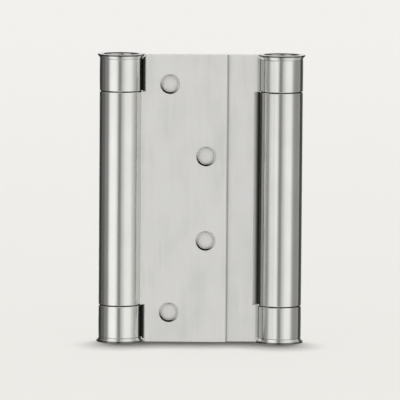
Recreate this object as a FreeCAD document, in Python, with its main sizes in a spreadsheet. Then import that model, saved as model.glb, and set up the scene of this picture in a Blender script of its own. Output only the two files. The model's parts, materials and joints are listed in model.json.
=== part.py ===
import FreeCAD, Part
import math
import os
import Sketcher

# Double action spring hinge, closed, standing upright.
# X runs to the right, Y into the picture and Z up along the two barrels.
# The origin is midway between the barrels, on the surface that the hinge stands on.
# The front leaf carries the left barrel's long tube and the back leaf the right one's.
# The web between them carries the four short knuckles, the caps, spindles and springs.

# Driving dimensions, in millimetres
SIZES = (
    ("leaf_height", 101.6),
    ("sheet_thick", 1.5),
    ("leaf_gap", 0.25),
    ("barrel_radius", 7.6),
    ("axis_spacing", 56.5),
    ("leaf_reach", 37.65),
    ("leaf_notch_gap", 1.25),
    ("web_notch_gap", 2.0),
    ("knuckle_len", 12.8),
    ("joint_gap", 0.3),
    ("bend_radius", 0.6),
    ("seam_gap", 0.35),
    ("edge_round", 0.25),
    ("hole_radius", 2.9),
    ("hole_round", 0.4),
    ("hole_land", 0.2),
    ("hole_near", 17.3),
    ("far_inset", 7.55),
    ("end_inset", 10.4),
    ("inner_pitch", 29.9),
    ("cap_rise", 0.1),
    ("cap_lip", 0.7),
    ("cap_edge", 0.5),
    ("flare_run", 0.5),
    ("flare_round", 1.05),
    ("cap_seat", 1.6),
    ("cap_relief", 0.2),
    ("cap_round", 0.12),
    ("rim_width", 1.4),
    ("dish_depth", 0.6),
    ("socket_flats", 4.4),
    ("socket_depth", 3.0),
    ("fit_gap", 0.05),
    ("run_gap", 0.05),
    ("end_gap", 0.3),
    ("bush_wall", 0.8),
    ("journal_run", 7.0),
    ("bush_run", 6.5),
    ("flange_inset", 0.4),
    ("flange_thick", 0.25),
    ("spindle_seat", 5.0),
    ("anchor_len", 8.0),
    ("anchor_play", 0.08),
    ("wire_radius", 0.9),
    ("coil_play", 0.5),
    ("coil_pitch", 1.9),
    ("tail_depth", 4.0),
    ("tail_wall", 0.35),
    ("pin_radius", 1.1),
    ("pin_wall", 0.85),
    ("pin_level", 6.4),
    ("pin_round", 0.3),
)

# Sizes worked out from the driving ones
DERIVED = (
    ("half_spacing", "=axis_spacing / 2"),
    ("half_height", "=leaf_height / 2"),
    ("half_sheet", "=sheet_thick / 2"),
    ("leaf_inner", "=half_sheet + leaf_gap"),
    ("leaf_outer", "=leaf_inner + sheet_thick"),
    ("bore_radius", "=barrel_radius - sheet_thick"),
    ("plug_radius", "=bore_radius - fit_gap"),
    ("leaf_notch", "=barrel_radius + leaf_notch_gap"),
    ("web_notch", "=barrel_radius + web_notch_gap"),
    ("tube_low", "=knuckle_len + joint_gap"),
    ("tube_top", "=leaf_height - tube_low"),
    ("knuckle_top", "=leaf_height - knuckle_len"),
    ("cap_cut", "=cap_seat - cap_rise"),
    ("neck_cut", "=cap_edge + flare_run - cap_rise"),
    ("sweep", "=2 * barrel_radius"),
    ("hole_far", "=leaf_reach - far_inset"),
    ("half_outer_pitch", "=half_height - end_inset"),
    ("half_inner_pitch", "=inner_pitch / 2"),
    ("sink_size", "=sheet_thick - hole_round - hole_land"),
    ("hex_flat", "=socket_flats / 2"),
    ("hex_point", "=socket_flats / sqrt(3)"),
    ("hex_half", "=hex_point / 2"),
    ("cap_radius", "=barrel_radius + cap_lip"),
    ("dish_radius", "=barrel_radius - rim_width"),
    ("flare_end", "=cap_edge + flare_run"),
    ("cap_shoulder", "=cap_rise + knuckle_len"),
    ("cap_end", "=cap_shoulder + joint_gap + journal_run"),
    ("sleeve_radius", "=plug_radius - bush_wall"),
    ("journal_radius", "=sleeve_radius - run_gap"),
    ("flange_radius", "=barrel_radius - flange_inset"),
    ("tail_radius", "=wire_radius - fit_gap"),
    ("tail_hole", "=wire_radius + fit_gap"),
    ("coil_radius", "=journal_radius - tail_wall - tail_hole"),
    ("spindle_radius", "=coil_radius - wire_radius - coil_play"),
    ("seat_radius", "=spindle_radius + fit_gap"),
    ("bush_end", "=flange_thick + bush_run"),
    ("anchor_low", "=tube_low + journal_run + end_gap"),
    ("anchor_top", "=anchor_low + anchor_len"),
    ("anchor_mid", "=anchor_low + anchor_len / 2"),
    ("anchor_bore", "=spindle_radius + anchor_play"),
    ("coil_low", "=anchor_top + end_gap + wire_radius"),
    ("coil_room", "=tube_top - journal_run - end_gap - wire_radius - coil_low"),
    ("coil_turns", "=floor(coil_room / coil_pitch)"),
    ("coil_len", "=coil_turns * coil_pitch"),
    ("coil_top", "=coil_low + coil_len"),
    ("low_tail", "=coil_low - anchor_top + tail_depth"),
    ("top_tail", "=tube_top - journal_run - coil_top + tail_depth"),
    ("tail_bore", "=tail_depth + end_gap"),
    ("spindle_low", "=spindle_seat - cap_rise"),
    ("spindle_len", "=leaf_height - 2 * spindle_low - end_gap"),
    ("pin_hole", "=pin_radius + fit_gap"),
    ("pin_root", "=seat_radius + pin_wall"),
    ("pin_len", "=barrel_radius - pin_root - fit_gap"),
    ("cap_pin_level", "=cap_rise + pin_level"),
    ("top_pin_level", "=leaf_height - pin_level"),
)

# Numbers that a sketch gives to a curve's points, to its own axes and to its origin
START, END, CENTRE = range(1, 4)
X_AXIS, Y_AXIS = range(-1, -3, -1)
ORIGIN = X_AXIS
HALF_TURN = 180
QUARTER_TURN = 90
SIDES = 2
TINY = 0.01

doc = FreeCAD.newDocument("double_action_spring_hinge")
sheet = doc.addObject("Spreadsheet::Sheet", "Sizes")


def fill_sheet():
    row = 1
    for alias, value in SIZES + DERIVED:
        sheet.set("A%d" % row, alias)
        sheet.set("B%d" % row, str(value))
        sheet.setAlias("B%d" % row, alias)
        row += 1
    doc.recompute()


def cells(text):
    """An expression on the sheet's cells, from aliases and signs parted by spaces."""
    words = text.split()
    return " ".join("Sizes." + word if word[0].isalpha() else word for word in words)


def number(text):
    """The present value of the same kind of text."""
    total = 0.0
    sign = 1
    for word in text.split():
        if word in "+-":
            sign = -1 if word == "-" else 1
        else:
            total += sign * float(sheet.get(word))
            sign = 1
    return total


# Bodies and sketches

def new_body(label):
    body = doc.addObject("PartDesign::Body", label)
    body.Label = label
    return body


def base_plane(body, role):
    return [part for part in body.Origin.OriginFeatures if part.Role == role][0]


def new_sketch(body, name, role, height=None):
    sketch = body.newObject("Sketcher::SketchObject", name)
    sketch.AttachmentSupport = (base_plane(body, role), "")
    sketch.MapMode = "FlatFace"
    if height:
        sketch.setExpression("AttachmentOffset.Base.z", cells(height))
    return sketch


def vector(x, y):
    return FreeCAD.Vector(number(x), number(y), 0)


def bind(sketch, kind, *where):
    """Add a dimension whose last argument is text, and bind it to the sheet."""
    text = where[-1]
    index = sketch.addConstraint(Sketcher.Constraint(kind, *where[:-1], number(text)))
    sketch.setExpression("Constraints[%d]" % index, cells(text))


def pin_point(sketch, curve, end, x, y):
    """Fix a point of a curve at x, y, where an empty text means zero."""
    if x:
        bind(sketch, "DistanceX", ORIGIN, START, curve, end, x)
    else:
        sketch.addConstraint(Sketcher.Constraint("PointOnObject", curve, end, Y_AXIS))
    if y:
        bind(sketch, "DistanceY", ORIGIN, START, curve, end, y)
    else:
        sketch.addConstraint(Sketcher.Constraint("PointOnObject", curve, end, X_AXIS))


def add_polygon(sketch, points):
    lines = []
    for first, last in zip(points, points[1:] + points[:1]):
        lines.append(sketch.addGeometry(Part.LineSegment(vector(*first), vector(*last)), False))
    for line, follower in zip(lines, lines[1:] + lines[:1]):
        sketch.addConstraint(Sketcher.Constraint("Coincident", line, END, follower, START))
    for line, point in zip(lines, points):
        pin_point(sketch, line, START, *point)


def add_rectangle(sketch, left, right, low, high):
    add_polygon(sketch, [(left, low), (right, low), (right, high), (left, high)])


def add_circle(sketch, x, y, radius):
    flat = FreeCAD.Vector(0, 0, 1)
    circle = sketch.addGeometry(Part.Circle(vector(x, y), flat, number(radius)), False)
    bind(sketch, "Radius", circle, radius)
    pin_point(sketch, circle, CENTRE, x, y)


# Features

def pad(body, sketch, length):
    feature = body.newObject("PartDesign::Pad", "Pad")
    feature.Profile = sketch
    feature.setExpression("Length", cells(length))
    return feature


def revolve(body, sketch):
    feature = body.newObject("PartDesign::Revolution", "Revolution")
    feature.Profile = sketch
    feature.ReferenceAxis = (sketch, ["V_Axis"])
    feature.Angle = 2 * HALF_TURN
    return feature


def cut_through(body, sketch):
    """Cut both ways from the sketch's plane, through everything."""
    feature = body.newObject("PartDesign::Pocket", "Pocket")
    feature.Profile = sketch
    feature.Type = "ThroughAll"
    feature.Midplane = True
    return feature


def cut_deep(body, sketch, depth, along_normal):
    """Cut to a depth, along the sketch's normal or against it."""
    feature = body.newObject("PartDesign::Pocket", "Pocket")
    feature.Profile = sketch
    feature.setExpression("Length", cells(depth))
    feature.Reversed = along_normal
    return feature


def edge_names(feature, test):
    doc.recompute()
    edges = enumerate(feature.Shape.Edges, 1)
    return ["Edge%d" % index for index, edge in edges if test(edge)]


def round_edges(body, base, radius, test):
    names = edge_names(base, test)
    feature = body.newObject("PartDesign::Fillet", "Fillet")
    feature.Base = (base, names)
    feature.setExpression("Radius", cells(radius))
    return feature


def bevel_edges(body, base, size, test):
    names = edge_names(base, test)
    feature = body.newObject("PartDesign::Chamfer", "Chamfer")
    feature.Base = (base, names)
    feature.setExpression("Size", cells(size))
    return feature


def near(value, text):
    return abs(value - number(text)) < TINY


def is_circle(edge, radius):
    return isinstance(edge.Curve, Part.Circle) and near(edge.Curve.Radius, radius)


def runs_along(edge, axis):
    """Whether an edge is a straight line along X, Y or Z."""
    if not isinstance(edge.Curve, Part.Line):
        return False
    return abs(getattr(edge.Curve.Direction, axis)) > 1 - TINY


def place(body, x, z, axis=(0, 0, 1), angle=0):
    """Put a body at x, z, turned about an axis, with its place bound to the sheet."""
    body.Placement = FreeCAD.Placement(
        FreeCAD.Vector(0, 0, 0), FreeCAD.Rotation(FreeCAD.Vector(*axis), angle))
    if x:
        body.setExpression("Placement.Base.x", cells(x))
    if z:
        body.setExpression("Placement.Base.z", cells(z))


# Rolled sheet

def add_arc(sketch, centre, radius, first, last):
    """An arc from the first angle to the last, anticlockwise, in radians."""
    circle = Part.Circle(centre, FreeCAD.Vector(0, 0, 1), radius)
    return sketch.addGeometry(Part.ArcOfCircle(circle, first, last), False)


def rolled_section(body, face, far_edge):
    """Sheet of even thickness that is rolled over the front into a barrel at its left edge.

    face is how far in front of the barrel's axis the sheet's front face lies, and far_edge
    is where the sheet stops, or empty text for the hinge's middle.
    """
    sketch = new_sketch(body, "Section", "XY_Plane")
    axis = vector("- half_spacing", "")
    outer, inner = number("barrel_radius"), number("bore_radius")
    bend, thick = number("bend_radius"), number("sheet_thick")
    front = -number(face)
    drop = front - bend
    bend_x = axis.x + math.sqrt((outer + bend) ** 2 - drop ** 2)
    pivot = FreeCAD.Vector(bend_x, drop, 0)
    lean = math.atan2(drop, bend_x - axis.x)
    seam = math.asin((front + thick + number("seam_gap")) / outer)
    far = number(far_edge)
    level, meet = math.pi / 2, math.pi + lean
    barrel_stop = lean + 2 * math.pi
    front_face = sketch.addGeometry(Part.LineSegment(
        FreeCAD.Vector(far, front, 0), FreeCAD.Vector(bend_x, front, 0)), False)
    front_bend = add_arc(sketch, pivot, bend, level, meet)
    barrel = add_arc(sketch, axis, outer, seam, barrel_stop)
    lip = sketch.addGeometry(Part.LineSegment(
        axis + FreeCAD.Vector(outer * math.cos(seam), outer * math.sin(seam), 0),
        axis + FreeCAD.Vector(inner * math.cos(seam), inner * math.sin(seam), 0)), False)
    bore = add_arc(sketch, axis, inner, seam, barrel_stop)
    back_bend = add_arc(sketch, pivot, bend + thick, level, meet)
    back_face = sketch.addGeometry(Part.LineSegment(
        FreeCAD.Vector(bend_x, front + thick, 0), FreeCAD.Vector(far, front + thick, 0)), False)
    free_edge = sketch.addGeometry(Part.LineSegment(
        FreeCAD.Vector(far, front + thick, 0), FreeCAD.Vector(far, front, 0)), False)
    rules = (
        ("Tangent", front_face, END, front_bend, START),
        ("Tangent", front_bend, END, barrel, END),
        ("Coincident", barrel, START, lip, START),
        ("Coincident", lip, END, bore, START),
        ("Tangent", bore, END, back_bend, END),
        ("Tangent", back_bend, START, back_face, START),
        ("Coincident", back_face, END, free_edge, START),
        ("Coincident", free_edge, END, front_face, START),
        ("Coincident", back_bend, CENTRE, front_bend, CENTRE),
        ("Coincident", bore, CENTRE, barrel, CENTRE),
        ("Perpendicular", lip, barrel),
        ("Horizontal", front_face),
        ("Horizontal", back_face),
        ("Vertical", free_edge),
    )
    for rule in rules:
        sketch.addConstraint(Sketcher.Constraint(*rule))
    pin_point(sketch, barrel, CENTRE, "- half_spacing", "")
    bind(sketch, "Radius", front_bend, "bend_radius")
    bind(sketch, "Radius", barrel, "barrel_radius")
    bind(sketch, "Radius", bore, "bore_radius")
    bind(sketch, "DistanceY", ORIGIN, START, front_face, END, "- " + face)
    bind(sketch, "DistanceY", ORIGIN, START, barrel, START, "sheet_thick + seam_gap - " + face)
    if far_edge:
        bind(sketch, "DistanceX", ORIGIN, START, free_edge, START, far_edge)
    else:
        sketch.addConstraint(Sketcher.Constraint("PointOnObject", free_edge, START, Y_AXIS))
    return sketch


def pin_cut(body, level):
    """A round hole for a cross pin, from the barrel's axis out through its left side."""
    sketch = new_sketch(body, "PinHole", "YZ_Plane", "- half_spacing")
    add_circle(sketch, "", level, "pin_hole")
    return cut_deep(body, sketch, "sweep", False)


def make_leaf(label, turn):
    body = new_body(label)
    pad(body, rolled_section(body, "leaf_outer", "leaf_reach - half_spacing"), "leaf_height")
    notches = new_sketch(body, "Notches", "XZ_Plane")
    left, right = "- half_spacing - sweep", "leaf_notch - half_spacing"
    add_rectangle(notches, left, right, "- joint_gap", "tube_low")
    add_rectangle(notches, left, right, "tube_top", "leaf_height + joint_gap")
    cut_through(body, notches)
    pin_cut(body, "anchor_mid")
    holes = new_sketch(body, "Holes", "XZ_Plane")
    for reach, pitch in (("hole_near", "half_outer_pitch"), ("hole_far", "half_inner_pitch")):
        for sign in ("-", "+"):
            add_circle(holes, reach + " - half_spacing", "half_height %s %s" % (sign, pitch), "hole_radius")
    plain = cut_through(body, holes)

    def at_inner_face(edge):
        return is_circle(edge, "hole_radius") and near(edge.CenterOfMass.y, "- leaf_inner")

    def at_outer_face(edge):
        return is_circle(edge, "hole_radius") and near(edge.CenterOfMass.y, "- leaf_outer")

    sunk = bevel_edges(body, plain, "sink_size", at_inner_face)
    eased = round_edges(body, sunk, "hole_round", at_outer_face)

    def is_outline(edge):
        middle = edge.CenterOfMass
        if runs_along(edge, "z"):
            return near(middle.x, "leaf_reach - half_spacing")
        if runs_along(edge, "x"):
            return near(middle.z, "") or near(middle.z, "leaf_height")
        return is_circle(edge, "barrel_radius")

    round_edges(body, eased, "edge_round", is_outline)
    place(body, "", "cap_rise", angle=turn)
    return body


def make_web(label):
    body = new_body(label)
    half = pad(body, rolled_section(body, "half_sheet", ""), "leaf_height")
    notches = new_sketch(body, "Notches", "XZ_Plane")
    left = "- half_spacing - sweep"
    tube, notch = "barrel_radius + fit_gap - half_spacing", "web_notch - half_spacing"
    add_polygon(notches, [
        (left, "knuckle_len"),
        (tube, "knuckle_len"),
        (tube, "tube_low - fit_gap"),
        (notch, "tube_low - fit_gap"),
        (notch, "tube_top + fit_gap"),
        (tube, "tube_top + fit_gap"),
        (tube, "knuckle_top"),
        (left, "knuckle_top"),
    ])
    flange, neck = "cap_radius + cap_relief - half_spacing", "barrel_radius + cap_relief - half_spacing"
    low_end, high_end = ("", "- joint_gap", "+ "), ("leaf_height ", "leaf_height + joint_gap", "- ")
    for edge, beyond, inward in (low_end, high_end):
        add_polygon(notches, [
            (left, beyond),
            (flange, beyond),
            (flange, edge + inward + "neck_cut"),
            (neck, edge + inward + "neck_cut"),
            (neck, edge + inward + "cap_cut"),
            (left, edge + inward + "cap_cut"),
        ])
    notched = cut_through(body, notches)
    low_hole = pin_cut(body, "pin_level")
    top_hole = pin_cut(body, "top_pin_level")
    pattern = body.newObject("PartDesign::PolarPattern", "BothSides")
    pattern.Originals = [half, notched, low_hole, top_hole]
    pattern.Axis = (base_plane(body, "Z_Axis"), [""])
    pattern.Angle = 2 * HALF_TURN
    pattern.Occurrences = SIDES
    body.Tip = pattern

    def is_outline(edge):
        middle = edge.CenterOfMass
        if runs_along(edge, "x"):
            return near(middle.z, "") or near(middle.z, "leaf_height")
        return is_circle(edge, "barrel_radius")

    round_edges(body, pattern, "edge_round", is_outline)
    place(body, "", "cap_rise + leaf_height", (1, 0, 0), HALF_TURN)
    return body


# Turned pieces and pins

def add_tail_hole(body, mouth):
    sketch = new_sketch(body, "TailHole", "XY_Plane", mouth)
    add_circle(sketch, "coil_radius", "", "tail_hole")
    return cut_deep(body, sketch, "tail_bore", False)


def make_cap(label):
    """End cap from its outer face at z 0: flange, plug in the knuckle, journal in the tube."""
    body = new_body(label)
    sketch = new_sketch(body, "Profile", "XZ_Plane")
    add_polygon(sketch, [
        ("", "dish_depth"),
        ("dish_radius", "dish_depth"),
        ("dish_radius", ""),
        ("cap_radius", ""),
        ("cap_radius", "cap_edge"),
        ("barrel_radius", "flare_end"),
        ("barrel_radius", "cap_seat"),
        ("plug_radius", "cap_seat"),
        ("plug_radius", "cap_shoulder"),
        ("journal_radius", "cap_shoulder"),
        ("journal_radius", "cap_end"),
        ("seat_radius", "cap_end"),
        ("seat_radius", "spindle_seat"),
        ("", "spindle_seat"),
    ])
    turned = revolve(body, sketch)

    def is_rim(edge):
        if not near(edge.CenterOfMass.z, ""):
            return False
        return is_circle(edge, "cap_radius") or is_circle(edge, "dish_radius")

    def is_neck(edge):
        return near(edge.CenterOfMass.z, "flare_end") and is_circle(edge, "barrel_radius")

    rounded = round_edges(body, turned, "cap_round", is_rim)
    round_edges(body, rounded, "flare_round", is_neck)
    hole = new_sketch(body, "PinHole", "YZ_Plane", "- pin_root")
    add_circle(hole, "", "cap_pin_level", "pin_hole")
    cut_deep(body, hole, "sweep", False)
    return body


def make_top_cap(label):
    """The tension collar: a cap with a hexagon socket and a hole for the spring's tail."""
    body = make_cap(label)
    socket = new_sketch(body, "Socket", "XY_Plane")
    add_polygon(socket, [
        ("hex_point", ""),
        ("hex_half", "hex_flat"),
        ("- hex_half", "hex_flat"),
        ("- hex_point", ""),
        ("- hex_half", "- hex_flat"),
        ("hex_half", "- hex_flat"),
    ])
    cut_deep(body, socket, "dish_depth + socket_depth", True)
    add_tail_hole(body, "cap_end")
    return body


def make_bush(label):
    """Flanged bush from its flange's outer face at z 0."""
    body = new_body(label)
    sketch = new_sketch(body, "Profile", "XZ_Plane")
    add_polygon(sketch, [
        ("sleeve_radius", ""),
        ("flange_radius", ""),
        ("flange_radius", "flange_thick"),
        ("plug_radius", "flange_thick"),
        ("plug_radius", "bush_end"),
        ("sleeve_radius", "bush_end"),
    ])
    revolve(body, sketch)
    return body


def make_anchor(label):
    """Plug that holds the spring's lower tail, with a bore for the spindle."""
    body = new_body(label)
    sketch = new_sketch(body, "Profile", "XZ_Plane")
    add_rectangle(sketch, "anchor_bore", "plug_radius", "", "anchor_len")
    revolve(body, sketch)
    add_tail_hole(body, "anchor_len")
    hole = new_sketch(body, "PinHole", "YZ_Plane", "- pin_root")
    add_circle(hole, "", "anchor_mid - anchor_low", "pin_hole")
    cut_deep(body, hole, "sweep", False)
    return body


def make_rod(label, radius, length, soft_end):
    """A round rod from z 0 up, with softened ends."""
    body = new_body(label)
    sketch = new_sketch(body, "Section", "XY_Plane")
    add_circle(sketch, "", "", radius)
    rod = pad(body, sketch, length)
    round_edges(body, rod, soft_end, lambda edge: is_circle(edge, radius))
    return body


def make_spring(label):
    """Close wound torsion spring from its first turn's centre at z 0, with a tail at each end."""
    body = new_body(label)
    wire = new_sketch(body, "Wire", "XZ_Plane")
    add_circle(wire, "coil_radius", "", "wire_radius")
    coil = body.newObject("PartDesign::AdditiveHelix", "Coil")
    coil.Profile = wire
    coil.ReferenceAxis = (wire, ["V_Axis"])
    coil.Mode = "pitch-height-angle"
    coil.setExpression("Pitch", cells("coil_pitch"))
    coil.setExpression("Height", cells("coil_len"))
    for start, length, downward in (("", "low_tail", True), ("coil_len", "top_tail", False)):
        sketch = new_sketch(body, "Tail", "XY_Plane", start)
        add_circle(sketch, "coil_radius", "", "tail_radius")
        tail = pad(body, sketch, length)
        tail.Reversed = downward
    return body


# One barrel's inner pieces, the right one turned half round from the left one

def make_barrel(side, axis_x, turn):
    upside_down = (0, 1, 0) if turn else (1, 0, 0)
    outward = "+" if turn else "-"
    pin_turn = QUARTER_TURN if turn else -QUARTER_TURN
    pieces = []

    def stand(body, level):
        place(body, axis_x, level + " + cap_rise", angle=turn)
        pieces.append(body)

    def hang(body, level):
        place(body, axis_x, level + " + cap_rise", upside_down, HALF_TURN)
        pieces.append(body)

    def lie(body, level):
        place(body, "%s %s pin_root" % (axis_x, outward), level + " + cap_rise", (0, 1, 0), pin_turn)
        pieces.append(body)

    hang(make_top_cap(side + "_top_cap"), "leaf_height + cap_rise")
    stand(make_cap(side + "_bottom_cap"), "- cap_rise")
    stand(make_rod(side + "_spindle", "spindle_radius", "spindle_len", "pin_round"), "spindle_low")
    stand(make_spring(side + "_spring"), "coil_low")
    stand(make_anchor(side + "_spring_anchor"), "anchor_low")
    stand(make_bush(side + "_lower_bush"), "tube_low - flange_thick")
    hang(make_bush(side + "_upper_bush"), "tube_top + flange_thick")
    lie(make_rod(side + "_tension_pin", "pin_radius", "pin_len", "pin_round"), "top_pin_level")
    lie(make_rod(side + "_anchor_pin", "pin_radius", "pin_len", "pin_round"), "anchor_mid")
    lie(make_rod(side + "_retaining_pin", "pin_radius", "pin_len", "pin_round"), "pin_level")
    return pieces


def check(bodies):
    for item in doc.Objects:
        if "Invalid" in item.State or "Error" in item.State:
            raise RuntimeError("failed: %s %s" % (item.Name, item.State))
    for body in bodies:
        if body.Shape.isNull() or not body.Shape.isValid():
            raise RuntimeError("bad shape: " + body.Label)


fill_sheet()
made = [make_leaf("front_leaf", 0), make_web("centre_web"), make_leaf("back_leaf", HALF_TURN)]
made += make_barrel("left", "- half_spacing", 0)
made += make_barrel("right", "half_spacing", HALF_TURN)
doc.recompute()
check(made)
os.makedirs("parts", exist_ok=True)
for piece in made:
    piece.Shape.exportStep(os.path.join("parts", piece.Label + ".step"))
    box = piece.Shape.BoundBox
    print("%-22s %9.2f mm3  x %7.2f %7.2f  y %6.2f %6.2f  z %7.2f %7.2f  solids %d" % (
        piece.Label, piece.Shape.Volume, box.XMin, box.XMax, box.YMin, box.YMax,
        box.ZMin, box.ZMax, len(piece.Shape.Solids)))
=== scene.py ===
import json
import math

import bpy
from mathutils import Euler, Matrix, Vector


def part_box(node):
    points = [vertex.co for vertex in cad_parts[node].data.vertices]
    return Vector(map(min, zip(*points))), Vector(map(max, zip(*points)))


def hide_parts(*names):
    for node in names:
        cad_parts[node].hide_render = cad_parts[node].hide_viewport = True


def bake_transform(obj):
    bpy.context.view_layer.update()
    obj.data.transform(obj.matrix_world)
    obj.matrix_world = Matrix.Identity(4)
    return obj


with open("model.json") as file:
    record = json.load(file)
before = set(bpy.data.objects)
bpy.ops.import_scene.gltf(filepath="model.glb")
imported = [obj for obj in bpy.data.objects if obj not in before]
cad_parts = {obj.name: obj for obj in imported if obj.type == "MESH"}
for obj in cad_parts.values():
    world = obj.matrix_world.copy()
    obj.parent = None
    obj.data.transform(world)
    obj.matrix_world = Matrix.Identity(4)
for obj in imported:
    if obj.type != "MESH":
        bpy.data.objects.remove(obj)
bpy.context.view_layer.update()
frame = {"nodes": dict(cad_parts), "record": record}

# Lengths are in metres and angles in degrees, in the frame's own axes:
# X right, Y away from the camera, Z up along the barrels.
MM = 0.001

# The photograph's camera, which looks down by CAMERA_DROP. FIELD is the width in view at the
# point that it aims at.
FIELD = 141.1 * MM
CAMERA_DISTANCE = 1.808
CAMERA_DROP = 5.9
CAMERA_ROLL = 0.42
AIM_X = -0.16 * MM
AIM_Z = 50.2 * MM
SENSOR = 36.0
CLIP_END = 50.0

# The studio: what the metal mirrors all round, as panels standing about the hinge.
# Each is its middle's bearing from the camera's side (right is positive), its half width,
# the softness of its edges, and how much light it adds to the tent's own.
TENT_COLOUR = (1.0, 0.995, 0.98, 1.0)
TENT_GLOW = 0.88
PANELS = (
    (-137.0, 18.0, 8.0, -0.83),
    (-105.5, 13.5, 8.0, -0.73),
    (-79.0, 13.0, 8.0, -0.58),
    (-40.0, 18.0, 12.0, 0.33),
    (-4.5, 8.5, 8.0, -0.60),
    (10.0, 6.0, 10.0, -0.20),
    (45.0, 21.0, 24.0, 0.20),
    (93.0, 25.0, 40.0, -0.31),
    (137.0, 19.0, 8.0, -0.74),
)

# Over and under the panels the mirrored light goes over to an even one: to the sky's, then to
# the dark ceiling's, and below to the table's. Each is the two heights between which it does,
# the share that the even light takes, and its glow.
EVEN_LIGHTS = (
    (15.0, 40.0, 0.4, 1.12),
    (60.0, 75.0, 1.0, 0.05),
    (-30.0, -60.0, 0.45, 0.95),
)

# The light that falls on matt things: a tent, and a soft lamp high up and slightly behind
TENT_LIGHT = 0.22
LAMP_POWER = 2.68
LAMP_WIDTH = 11.0
LAMP_LEAN_BACK = 7.0

# The floor's tone is painted shade, darker at the front, at NEAR_EDGE, than at the back, at
# FAR_EDGE
FLOOR_SIZE = 14.0
SHADED_NEAR_FLOOR = (0.79, 0.775, 0.745, 1.0)
FAR_FLOOR = (0.825, 0.812, 0.795, 1.0)
NEAR_EDGE, FAR_EDGE = -0.2, 1.6

PLATE_COLOUR = (1.0, 0.995, 0.97, 1.0)
TUBE_COLOUR = (0.72, 0.72, 0.70, 1.0)
WARM_TINT = (1.0, 0.975, 0.945, 1.0)
COOL_TINT = (0.955, 0.975, 0.95, 1.0)
TINT_SHARE = 0.5
CAP_COLOUR = (0.70, 0.70, 0.69)
ROD_COLOUR = (0.62, 0.62, 0.62)
WIRE_COLOUR = (0.33, 0.33, 0.35)
BUSH_COLOUR = (0.62, 0.47, 0.22)

# The noises of the sheets: their size across the upright grain and along it, and their detail.
# Each sheet takes them from another place, so no two sheets are alike.
GRAIN = (0.22 * MM, 14 * MM, 4.0)
STREAKS = (2.2 * MM, 60 * MM, 3.0)
CLOUDS = (9 * MM, 16 * MM, 2.0)
WAVES = (7 * MM, 11 * MM, 1.0)
SHEET_SHIFT = Vector((0.37, 0.11, 0.23))

# A noise's usual range, and the steeper one by which the clouds turn from cool to warm
NOISE_RANGE = (0.3, 0.7)
TINT_RANGE = (0.35, 0.65)
NOISE_DETAIL = 3.0
NOISE_ROUGHNESS = 0.55

# What a noise's lows and highs do to the shade and the roughness
GRAIN_SHADES = (0.975, 1.01)
STREAK_SHADES = (-0.02, 0.02)
CLOUD_SHADES = (0.97, 1.05)
SATIN_GRAIN = (0.44, 0.52)
SATIN_CLOUDS = (-0.02, 0.02)
BURNISHED_GRAIN = (0.15, 0.19)
BURNISHED_STREAKS = (-0.01, 0.01)
GRAIN_HEIGHT = 0.12
SHEET_RELIEF = 0.02 * MM

# The fine rings and the clouds on turned metal
RING_WIDTH = 0.12 * MM
RING_SHADES = (0.9, 1.0)
TURNED_CLOUDS = 2.5 * MM
TURNED_ROUGHNESS = 0.03
TURNED_RELIEF = 0.003 * MM

# Turned metal's slopes mirror as if they leaned this share of their real lean, so that a cap's
# slight flare shows what the tube beside it shows
FLARE_LEAN = 0.12

# Painted shade: rings round an axis that are painted darker than the rest where shade falls, as
# inner and outer radius, depth from the piece's end and share of light kept: the wall of a cap's
# dish and its outer edge, and the edge of a bush's flange in the joint
PAINTED_SHADE_FADE = 0.15 * MM
CAP_PAINTED_SHADES = ((5.9 * MM, 6.45 * MM, 0.25 * MM, 0.12), (8.05 * MM, 9.0 * MM, 0.6 * MM, 0.25))
BUSH_PAINTED_SHADES = ((6.4 * MM, 9.0 * MM, 2.0 * MM, 0.04),)

# Which way from the web each leaf lies, along Y
LEAF_SIDES = {"front_leaf": -1.0, "back_leaf": 1.0}

# How far outside a barrel's surface its burnished metal fades to the plate's satin
BARREL_FADE = (0.1 * MM, 0.5 * MM)

# Painted shade in the slots beside the barrels, by distance from a barrel's side (negative is
# within it): where the painted shade starts, is full, starts to end and is over. Along Y it starts
# and is full at two distances from the web's middle, outward on the web and inward on a leaf.
WEB_FOLD = (-1.0 * MM, -0.25 * MM, 0.7 * MM, 1.3 * MM)
LEAF_FOLD = (-1.6 * MM, -0.2 * MM, 0.35 * MM, 2.0 * MM)
WEB_FOLD_DEPTH = (0.4 * MM, 0.7 * MM)
LEAF_FOLD_DEPTH = (1.2 * MM, 1.0 * MM)
# The share of light kept where the slots' shade is painted
PAINTED_FOLD_KEPT = 0.05

# The rounded edges of the holes, as radii. Their painted shadow goes from the lesser shade to the
# greater as a point lies nearer the hole's foot, which RIM_SLANT turns to the left.
RIM_INNER, RIM_OUTER, RIM_FADE = 2.5 * MM, 3.6 * MM, 0.3 * MM
RIM_SLANT = -0.4
RIM_LEANS = (0.0, 0.9)
RIM_PAINTED_SHADES = (0.3, 1.0)

# The painted shadow line along a leaf's free edge, as its half width, its fade and the share kept
EDGE_SHADOW_LINE = (0.2 * MM, 0.3 * MM, 0.6)

# Painted reflections: upright bands on the fronts of the barrels, painted darker or brighter in
# place of what the metal mirrors, given by how far across the radius they start and end (left is
# negative) and the share of light kept. One is above 1, so it is a painted highlight.
PAINTED_REFLECTION_BANDS = {
    "left_spindle": ((0.70, 0.95, 0.9), (0.82, 0.95, 0.8)),
    "right_spindle": (
        (-1.1, -0.80, 0.5), (-0.70, -0.56, 1.25), (-0.53, -0.26, 0.80), (0.50, 1.1, 0.6)),
}
PAINTED_BAND_FADE = 0.08

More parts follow.
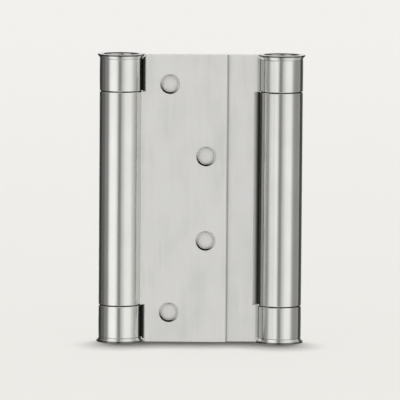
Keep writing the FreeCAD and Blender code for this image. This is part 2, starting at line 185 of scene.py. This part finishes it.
# The springs wind up as the leaves turn. Here they are meshes built along their wire, in place of
# the hidden solid springs.
# Their wire, coil and tails have the solid springs' measures.
WIRE_RADIUS = 0.9 * MM
COIL_LOW = 29.7 * MM
COIL_PITCH = 1.9 * MM
COIL_TURNS = 26
TAIL_BEND = 1.2 * MM
STEPS_A_TURN = 36
BEND_STEPS = 6
WIRE_SIDES = 12


def middle_of(node):
    low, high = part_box(node)
    return (low + high) / 2


BARREL_X = middle_of("right_spindle").x
TUBE_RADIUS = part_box("back_leaf")[1].y
FREE_EDGE_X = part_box("front_leaf")[1].x


# Node trees

def new_material(name):
    material = bpy.data.materials.new(name)
    material.use_nodes = True
    material.node_tree.nodes.clear()
    return material, Tree(material.node_tree)


class Tree:
    """Short ways to add nodes. An input may be a number, a colour, or another node's output."""

    def __init__(self, tree):
        self.nodes = tree.nodes
        self.links = tree.links

    def add(self, kind, settings=None, **inputs):
        node = self.nodes.new(kind)
        for key, value in (settings or {}).items():
            setattr(node, key, value)
        for key, value in inputs.items():
            self.feed(node.inputs[key.replace("_", " ")], value)
        return node

    def feed(self, socket, value):
        if isinstance(value, bpy.types.NodeSocket):
            self.links.new(value, socket)
        else:
            socket.default_value = value

    def math(self, operation, first, second=0.0):
        node = self.add("ShaderNodeMath", {"operation": operation})
        self.feed(node.inputs[0], first)
        self.feed(node.inputs[1], second)
        return node.outputs[0]

    def times(self, first, *others):
        for other in others:
            first = self.math("MULTIPLY", first, other)
        return first

    def length(self, x, y):
        return self.math("SQRT", self.math("ADD", self.times(x, x), self.times(y, y)))

    def vector(self, operation, first, second=(0.0, 0.0, 0.0)):
        node = self.add("ShaderNodeVectorMath", {"operation": operation})
        self.feed(node.inputs[0], first)
        self.feed(node.inputs[1], second)
        return node.outputs[0]

    def scaled(self, vector, factor):
        node = self.add("ShaderNodeVectorMath", {"operation": "SCALE"}, Scale=factor)
        self.feed(node.inputs[0], vector)
        return node.outputs[0]

    def place(self):
        """A point of the surface in its object's own axes, which are the frame's."""
        return self.add("ShaderNodeTexCoord").outputs["Object"]

    def parts(self, vector):
        return tuple(self.add("ShaderNodeSeparateXYZ", Vector=vector).outputs)

    def joined(self, x, y, z):
        return self.add("ShaderNodeCombineXYZ", X=x, Y=y, Z=z).outputs[0]

    def noise(self, vector, detail=NOISE_DETAIL):
        node = self.add(
            "ShaderNodeTexNoise", Vector=vector, Scale=1.0, Detail=detail,
            Roughness=NOISE_ROUGHNESS)
        return node.outputs["Fac"]

    def spread(self, value, low, high, new_low, new_high, smooth=False):
        """The value's range from low to high as a new range, held at both ends."""
        node = self.add("ShaderNodeMapRange", {"clamp": True})
        node.interpolation_type = "SMOOTHSTEP" if smooth else "LINEAR"
        for index, number in enumerate((value, low, high, new_low, new_high)):
            self.feed(node.inputs[index], number)
        return node.outputs[0]

    def ranged(self, noise, new_low, new_high):
        """A noise's usual range as a new range."""
        return self.spread(noise, *NOISE_RANGE, new_low, new_high)

    def between(self, value, start, full, ending, end):
        """1 from full to ending, and 0 before start and after end."""
        return self.times(
            self.spread(value, start, full, 0.0, 1.0, smooth=True),
            self.spread(value, ending, end, 1.0, 0.0, smooth=True))

    def kept(self, amount, share):
        """1 where the amount is 0, and the share where it is 1."""
        return self.spread(amount, 0.0, 1.0, 1.0, share)

    def mix(self, share, first, second):
        """Two colours mixed. Input 0 is the node's factor, and 6 and 7 are its colours."""
        node = self.add("ShaderNodeMix", {"data_type": "RGBA"})
        self.feed(node.inputs[0], share)
        self.feed(node.inputs[6], first)
        self.feed(node.inputs[7], second)
        return node.outputs[2]

    def output(self, kind, shader):
        node = self.add(kind)
        self.links.new(shader.outputs[0], node.inputs[0])

    def shine(self, colour, roughness, height, relief, lean=1.0):
        """A metal surface with a relief of a given depth.

        lean scales how far its slopes lean up or down in what they mirror.
        """
        normal = self.add("ShaderNodeNewGeometry").outputs["Normal"]
        normal = self.vector("NORMALIZE", self.vector("MULTIPLY", normal, (1.0, 1.0, lean)))
        bump = self.add(
            "ShaderNodeBump", Strength=1.0, Distance=relief, Height=height, Normal=normal)
        shader = self.add(
            "ShaderNodeBsdfPrincipled", Base_Color=colour, Metallic=1.0, Roughness=roughness,
            Normal=bump.outputs[0])
        self.output("ShaderNodeOutputMaterial", shader)


# Metal

def barrel_nearness(tree, place):
    """1 on the two barrels and 0 on the flat of the plates, from the distance to the axes."""
    x, y, _ = tree.parts(place)
    from_axis = tree.math("SUBTRACT", tree.math("ABSOLUTE", x), BARREL_X)
    start, end = BARREL_FADE
    return tree.spread(
        tree.length(from_axis, y), TUBE_RADIUS + start, TUBE_RADIUS + end, 1.0, 0.0, smooth=True)


def stretched_noise(tree, place, across, along, detail):
    """A noise of a given size across the upright grain and along it."""
    x, y, z = tree.parts(place)
    stretched = tree.joined(
        tree.math("DIVIDE", x, across), tree.math("DIVIDE", y, across),
        tree.math("DIVIDE", z, along))
    return tree.noise(stretched, detail)


def hole_centres(side):
    """Where one side's screw holes are, as (x, z), from the record's bolt patterns."""
    for mount in frame["record"]["mounts"]:
        x, y, z = mount["pos_m"]
        if mount["kind"] == "bolt_pattern" and y * side > 0:
            reach = mount["dims"]["spacing_y_mm"] * MM / 2
            yield x, z - reach
            yield x, z + reach


def hole_rims(tree, place, node):
    """How near the edge of a leaf's hole is, and how dark the painted shade makes it.

    Both run from 0 to 1, and the painted shade gathers at the foot of each hole. The web has no
    holes.
    """
    near, dark = 0.0, 0.0
    if node not in LEAF_SIDES:
        return near, dark
    x, _, z = tree.parts(place)
    for hole_x, hole_z in hole_centres(LEAF_SIDES[node]):
        across = tree.math("SUBTRACT", x, hole_x)
        up = tree.math("SUBTRACT", z, hole_z)
        distance = tree.length(across, up)
        rim = tree.between(
            distance, RIM_INNER, RIM_INNER + RIM_FADE, RIM_OUTER - RIM_FADE, RIM_OUTER)
        down = tree.math("ADD", tree.times(up, -1.0), tree.times(across, RIM_SLANT))
        lean = tree.math("DIVIDE", down, distance)
        near = tree.math("MAXIMUM", near, rim)
        dark = tree.math(
            "MAXIMUM", dark, tree.times(rim, tree.spread(lean, *RIM_LEANS, *RIM_PAINTED_SHADES)))
    return near, dark


def painted_fold_shade(tree, place, node):
    """Painted shade: 1 in the narrow slot beside a barrel, where a sheet turns in behind another
    one's edge.
    """
    x, y, _ = tree.parts(place)
    beside = tree.math("SUBTRACT", BARREL_X, tree.math("ABSOLUTE", x))
    if node in LEAF_SIDES:
        fold, depth, side = LEAF_FOLD, LEAF_FOLD_DEPTH, LEAF_SIDES[node]
    else:
        fold, depth, side = WEB_FOLD, WEB_FOLD_DEPTH, tree.math("SIGN", x)
    band = tree.between(beside, *(TUBE_RADIUS + distance for distance in fold))
    return tree.times(band, tree.spread(tree.times(y, side), *depth, 0.0, 1.0))


def painted_edge_shadow(tree, place, node):
    """The share of light kept by the painted shadow along a leaf's free edge, on the leaf and on
    the web beside it.
    """
    x, y, _ = tree.parts(place)
    side = LEAF_SIDES[node] if node in LEAF_SIDES else tree.math("SIGN", y)
    beyond = tree.math("SUBTRACT", tree.times(x, side, -1.0), FREE_EDGE_X)
    half, fade, share = EDGE_SHADOW_LINE
    return tree.spread(tree.math("ABSOLUTE", beyond), half, half + fade, share, 1.0, smooth=True)


def painted_reflection_bands(tree, place):
    """The share of light kept by the painted reflection bands upright on the fronts of the barrels.
    """
    x, y, _ = tree.parts(place)
    in_front = tree.math("LESS_THAN", y, 0.0)
    total = 1.0
    for spindle, bands in PAINTED_REFLECTION_BANDS.items():
        across = tree.math(
            "DIVIDE", tree.math("SUBTRACT", x, middle_of(spindle).x), TUBE_RADIUS)
        for start, end, share in bands:
            band = tree.between(
                across, start - PAINTED_BAND_FADE, start + PAINTED_BAND_FADE, end - PAINTED_BAND_FADE, end + PAINTED_BAND_FADE)
            total = tree.times(total, tree.kept(tree.times(band, in_front), share))
    return total


def sheet_metal(name, number):
    """Satin sheet with an upright grain, faint warm and cool clouds and burnished barrels."""
    material, tree = new_material(name)
    place = tree.place()
    shifted = tree.vector("ADD", place, number * SHEET_SHIFT)
    grain, streaks, clouds, waves = (
        stretched_noise(tree, shifted, *noise) for noise in (GRAIN, STREAKS, CLOUDS, WAVES))
    on_barrel = barrel_nearness(tree, place)
    at_hole, painted_hole_shade = hole_rims(tree, place, name)

    warmth = tree.spread(clouds, *TINT_RANGE, 0.0, 1.0, smooth=True)
    tint = tree.mix(warmth, COOL_TINT, WARM_TINT)
    plate = tree.mix(TINT_SHARE, tint, PLATE_COLOUR)
    plain = tree.mix(on_barrel, plate, TUBE_COLOUR)
    lines = tree.math(
        "ADD", tree.ranged(grain, *GRAIN_SHADES), tree.ranged(streaks, *STREAK_SHADES))
    shade = tree.times(
        lines,
        tree.ranged(clouds, *CLOUD_SHADES),
        # painted shade in the slots beside the barrels
        tree.kept(painted_fold_shade(tree, place, name), PAINTED_FOLD_KEPT),
        # painted shadow at the foot of each hole
        tree.math("SUBTRACT", 1.0, painted_hole_shade),
        # painted shadow along the leaves' free edges
        painted_edge_shadow(tree, place, name),
        # painted reflections and a painted highlight on the barrels' fronts
        painted_reflection_bands(tree, place))

    satin = tree.math(
        "ADD", tree.ranged(grain, *SATIN_GRAIN), tree.ranged(clouds, *SATIN_CLOUDS))
    burnished = tree.math(
        "ADD", tree.ranged(grain, *BURNISHED_GRAIN), tree.ranged(streaks, *BURNISHED_STREAKS))
    smoothness = tree.math("MAXIMUM", on_barrel, at_hole)
    roughness = tree.spread(smoothness, 0.0, 1.0, satin, burnished)
    height = tree.math("ADD", tree.times(grain, GRAIN_HEIGHT), waves)
    tree.shine(tree.scaled(plain, shade), roughness, height, SHEET_RELIEF)
    return material


def turned_metal(name, colour, roughness, painted_shades):
    """Metal turned about an upright axis, with fine rings, and the rings of painted shade that its
    last argument lists.
    """
    material, tree = new_material("metal_" + name)
    place = tree.vector("SUBTRACT", tree.place(), middle_of(name))
    x, y, z = tree.parts(place)
    radius = tree.length(x, y)
    rings = tree.noise(tree.joined(
        tree.math("DIVIDE", radius, RING_WIDTH), 0.0, tree.math("DIVIDE", z, RING_WIDTH)))
    clouds = tree.noise(tree.scaled(place, 1 / TURNED_CLOUDS))
    low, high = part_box(name)
    depth = tree.math("SUBTRACT", (high.z - low.z) / 2, tree.math("ABSOLUTE", z))
    shade = tree.ranged(rings, *RING_SHADES)
    # Painted shade: each listed ring is darkened where shade falls, in a cap's dish, at its outer
    # edge and in the joint at a bush's flange
    for inner, outer, deep, share in painted_shades:
        ring = tree.times(
            tree.between(radius, inner, inner + PAINTED_SHADE_FADE, outer - PAINTED_SHADE_FADE, outer),
            tree.spread(depth, deep, deep + PAINTED_SHADE_FADE, 1.0, 0.0, smooth=True))
        shade = tree.times(shade, tree.kept(ring, share))
    rough = tree.ranged(clouds, roughness - TURNED_ROUGHNESS, roughness + TURNED_ROUGHNESS)
    tree.shine(tree.scaled(colour, shade), rough, rings, TURNED_RELIEF, FLARE_LEAN)
    return material


def dress_nodes():
    """Give every node its material: the three sheets, and the turned pieces by their last word."""
    looks = {
        "cap": (CAP_COLOUR, 0.17, CAP_PAINTED_SHADES),
        "anchor": (CAP_COLOUR, 0.30, ()),
        "spindle": (ROD_COLOUR, 0.18, ()),
        "pin": (ROD_COLOUR, 0.20, ()),
        "spring": (WIRE_COLOUR, 0.34, ()),
        "bush": (BUSH_COLOUR, 0.30, BUSH_PAINTED_SHADES),
    }
    sheets = ("front_leaf", "centre_web", "back_leaf")
    for name, node in frame["nodes"].items():
        if name in sheets:
            material = sheet_metal(name, sheets.index(name))
        else:
            material = turned_metal(name, *looks[name.rsplit("_", 1)[-1]])
        node.data.materials.clear()
        node.data.materials.append(material)


# Springs

def coil_level(angle):
    return COIL_LOW + COIL_PITCH * angle / math.tau


def spring_route(radius, low, high):
    """The wire's centreline as (angle, level), from the lower tail round the coil to the upper."""
    whole = math.tau * COIL_TURNS
    eased = TAIL_BEND / radius
    route = [(0.0, low)]
    for step in range(BEND_STEPS + 1):
        turn = math.pi / 2 * step / BEND_STEPS
        level = coil_level(eased) - TAIL_BEND * (1 - math.sin(turn))
        route.append((eased * (1 - math.cos(turn)), level))
    steps = STEPS_A_TURN * COIL_TURNS
    for step in range(1, steps):
        angle = eased + (whole - 2 * eased) * step / steps
        route.append((angle, coil_level(angle)))
    for step in range(BEND_STEPS + 1):
        turn = math.pi / 2 * (1 - step / BEND_STEPS)
        level = coil_level(whole - eased) + TAIL_BEND * (1 - math.sin(turn))
        route.append((whole - eased * (1 - math.cos(turn)), level))
    route.append((whole, high))
    return route


def wire_mesh(name, centres, outward):
    """A round wire along its centres. outward is each centre's direction from the barrel's axis."""
    points, faces = [], []
    last = len(centres) - 1
    for index, centre in enumerate(centres):
        along = (centres[min(index + 1, last)] - centres[max(index - 1, 0)]).normalized()
        across = along.cross(outward[index])
        for corner in range(WIRE_SIDES):
            turn = math.tau * corner / WIRE_SIDES
            spoke = math.cos(turn) * outward[index] + math.sin(turn) * across
            points.append(centre + WIRE_RADIUS * spoke)
    for index in range(last):
        first = index * WIRE_SIDES
        for corner in range(WIRE_SIDES):
            here, beside = first + corner, first + (corner + 1) % WIRE_SIDES
            faces.append((here, beside, beside + WIRE_SIDES, here + WIRE_SIDES))
    faces.append(tuple(reversed(range(WIRE_SIDES))))
    faces.append(tuple(range(last * WIRE_SIDES, (last + 1) * WIRE_SIDES)))
    mesh = bpy.data.meshes.new(name)
    mesh.from_pydata(points, [], faces)
    mesh.shade_smooth()
    return mesh


def make_spring(side):
    """A close wound torsion spring. Its lower tail follows the leaf, and its upper one the web."""
    node = side + "_spring"
    name = side + "_torsion_spring"
    low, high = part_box(node)
    axis = middle_of(node)
    radius = (high.x - low.x) / 2 - WIRE_RADIUS
    first = 0.0 if side == "left" else math.pi
    outward, centres = [], []
    for angle, level in spring_route(radius, low.z, high.z):
        outward.append(Vector((math.cos(first + angle), math.sin(first + angle), 0)))
        centres.append(Vector((axis.x, axis.y, level)) + radius * outward[-1])
    mesh = wire_mesh(name, centres, outward)
    mesh.materials.append(frame["nodes"][node].data.materials[0])
    spring = bpy.data.objects.new(name, mesh)
    bpy.context.scene.collection.objects.link(spring)
    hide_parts(node)
    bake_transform(spring)


# Studio

def make_world():
    """A tent of even light for matt things, and the panels for what the metal mirrors."""
    world = bpy.data.worlds.new("studio")
    bpy.context.scene.world = world
    world.use_nodes = True
    world.node_tree.nodes.clear()
    tree = Tree(world.node_tree)
    x, y, z = tree.parts(tree.add("ShaderNodeTexCoord").outputs["Generated"])
    bearing = tree.math("DEGREES", tree.math("ARCTAN2", x, tree.times(y, -1.0)))
    height = tree.math("DEGREES", tree.math("ARCSINE", z))

    glow = TENT_GLOW
    for middle, half, soft, added in PANELS:
        off = tree.math("ABSOLUTE", tree.math("SUBTRACT", bearing, middle))
        panel = tree.spread(off, half - soft / 2, half + soft / 2, added, 0.0, smooth=True)
        glow = tree.math("ADD", glow, panel)
    for start, end, share, even_glow in EVEN_LIGHTS:
        gone_over = tree.spread(height, start, end, 0.0, share, smooth=True)
        glow = tree.spread(gone_over, 0.0, 1.0, glow, even_glow)

    matt = tree.math("MINIMUM", tree.add("ShaderNodeLightPath").outputs["Diffuse Depth"], 1.0)
    strength = tree.spread(matt, 0.0, 1.0, glow, TENT_LIGHT)
    background = tree.add("ShaderNodeBackground", Color=TENT_COLOUR, Strength=strength)
    tree.output("ShaderNodeOutputWorld", background)


def make_floor():
    half = FLOOR_SIZE / 2
    corners = [(-half, -half, 0), (half, -half, 0), (half, half, 0), (-half, half, 0)]
    mesh = bpy.data.meshes.new("floor")
    mesh.from_pydata(corners, [], [(0, 1, 2, 3)])
    floor = bpy.data.objects.new("floor", mesh)
    bpy.context.scene.collection.objects.link(floor)
    material, tree = new_material("floor")
    _, y, _ = tree.parts(tree.place())
    # Painted shade: the floor's colour darkens towards the front
    distance = tree.spread(y, NEAR_EDGE, FAR_EDGE, 0.0, 1.0, smooth=True)
    colour = tree.mix(distance, SHADED_NEAR_FLOOR, FAR_FLOOR)
    shader = tree.add("ShaderNodeBsdfDiffuse", Color=colour, Roughness=0.0)
    tree.output("ShaderNodeOutputMaterial", shader)
    mesh.materials.append(material)
    floor.visible_glossy = False


def make_lamp():
    """A broad soft lamp so far off that it lights the whole table evenly."""
    light = bpy.data.lights.new("lamp", "SUN")
    light.energy = LAMP_POWER
    light.angle = math.radians(LAMP_WIDTH)
    lamp = bpy.data.objects.new("lamp", light)
    lamp.rotation_euler = (math.radians(-LAMP_LEAN_BACK), 0, 0)
    lamp.visible_glossy = False
    bpy.context.scene.collection.objects.link(lamp)


def make_camera():
    camera = bpy.data.cameras.new("camera")
    camera.sensor_width = SENSOR
    camera.lens = SENSOR * CAMERA_DISTANCE / FIELD
    camera.clip_end = CLIP_END
    eye = bpy.data.objects.new("camera", camera)
    bpy.context.scene.collection.objects.link(eye)
    drop = math.radians(CAMERA_DROP)
    aim = Vector((AIM_X, 0, AIM_Z))
    eye.location = aim + CAMERA_DISTANCE * Vector((0, -math.cos(drop), math.sin(drop)))
    look = Euler((math.radians(90) - drop, 0, 0)).to_matrix()
    roll = Matrix.Rotation(math.radians(CAMERA_ROLL), 3, "Z")
    eye.rotation_euler = (look @ roll).to_euler()
    bpy.context.scene.camera = eye


dress_nodes()
make_spring("left")
make_spring("right")
make_world()
make_floor()
make_lamp()
make_camera()
bpy.context.scene.view_settings.view_transform = "Standard"
